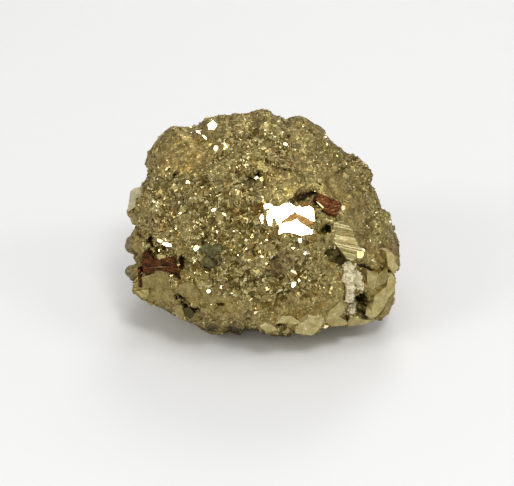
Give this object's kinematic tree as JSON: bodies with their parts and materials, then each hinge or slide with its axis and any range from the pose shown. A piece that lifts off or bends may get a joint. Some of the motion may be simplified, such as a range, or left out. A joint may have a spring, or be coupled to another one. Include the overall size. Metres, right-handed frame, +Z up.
{
  "type": "pyrite specimen",
  "caption": "Hand-sized lump of intergrown pyrite crystals with a domed, sparkling crust and a flat broken base.",
  "frame": {"origin": "centre of the bounding box's footprint, on the flat that the lump rests on", "axes": "+X to the right across the front, +Y to the back, +Z up; the front with the large mirror-like crystals faces -Y and leans back"},
  "size_m": [0.065, 0.05, 0.0465],
  "materials": {
    "pyrite": "dull olive-brass metal, satin, with bright crystal faces",
    "rust": "rust-brown oxide film on a few crystal faces, satin",
    "pale_matrix": "cream-white crumbly mineral, matt",
    "grey_grain": "grey-green and smoky grains, waxy"
  },
  "bodies": {
    "root": {"pyrite_mass": "pyrite"}
  },
  "joints": []
}
